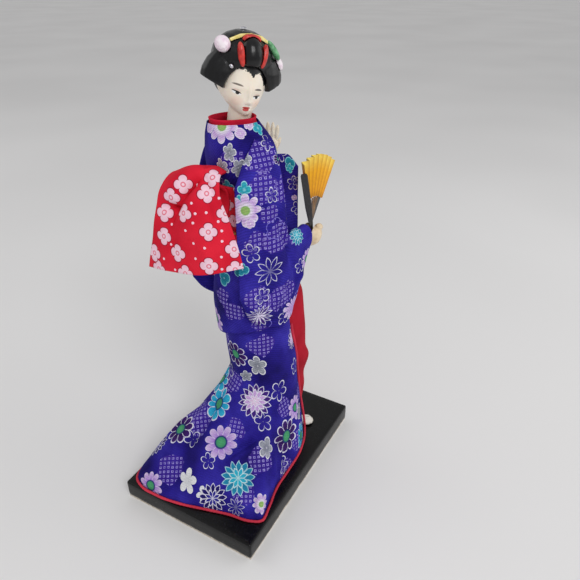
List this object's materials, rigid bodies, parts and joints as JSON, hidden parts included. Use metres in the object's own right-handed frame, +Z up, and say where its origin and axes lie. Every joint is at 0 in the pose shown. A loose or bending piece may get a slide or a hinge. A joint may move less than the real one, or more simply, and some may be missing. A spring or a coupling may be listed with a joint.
{
  "type": "geisha figurine",
  "caption": "Standing cloth-dressed doll in a trailing patterned robe with a red bow sash, holding a folding fan, on a rectangular board.",
  "frame": {"origin": "centre of the base's underside", "axes": "+Z up; +X along the long side of the board, the way the front of the robe faces; the side with the long edge of the train, shown to the viewer, is -Y"},
  "size_m": [0.1287, 0.09, 0.2615],
  "materials": {
    "black_lacquer": "gloss black lacquer",
    "backing_card": "pale tan card",
    "skin_white": "satin ivory paint",
    "hair_black": "gloss black",
    "robe_print": "printed crepe, indigo with flowers",
    "red_cloth": "plain red cloth",
    "obi_print": "red cloth printed with pale blossoms",
    "steel_wire": "drawn wire",
    "padding": "cotton padding",
    "peg_wood": "plain wood",
    "fan_paper": "yellow paper",
    "fan_black": "black painted wood",
    "fan_rib": "dark stained",
    "brass": "polished",
    "gold_cord": "twisted gold-brown cord",
    "petal_pink": "painted pale pink",
    "band_yellow": "painted pale yellow",
    "leaf_green": "painted green",
    "ribbon_red": "painted red",
    "pin_silver": "silver paint"
  },
  "bodies": {
    "root": {"arm_wire_left": "steel_wire", "arm_wire_right": "steel_wire", "base_backing": "backing_card", "base_board": "black_lacquer", "body_core": "padding", "fan_guard_front": "fan_black", "fan_guard_rear": "fan_black", "fan_leaf": "fan_paper", "fan_rib_1": "fan_rib", "fan_rib_2": "fan_rib", "fan_rib_3": "fan_rib", "fan_rib_4": "fan_rib", "fan_rib_5": "fan_rib", "fan_rivet": "brass", "foot_left": "skin_white", "foot_right": "skin_white", "hair": "hair_black", "hair_band": "band_yellow", "hair_flower_left": "petal_pink", "hair_flower_right": "petal_pink", "hair_leaf": "leaf_green", "hair_pin_crown": "pin_silver", "hair_pin_wing": "pin_silver", "hair_ribbon_arch": "ribbon_red", "hair_ribbon_left": "ribbon_red", "hair_ribbon_right": "ribbon_red", "hand_left": "skin_white", "hand_right": "skin_white", "head": "skin_white", "hem_piping": "red_cloth", "kimono_bodice": "robe_print", "kimono_skirt": "robe_print", "kimono_sleeve_left": "robe_print", "kimono_sleeve_right": "robe_print", "leg_wire_left": "steel_wire", "leg_wire_right": "steel_wire", "neck_peg": "peg_wood", "obi_band": "obi_print", "obi_cord": "gold_cord", "obi_knot": "obi_print", "obi_tail": "obi_print", "under_collar": "red_cloth", "underskirt": "red_cloth"}
  },
  "joints": []
}
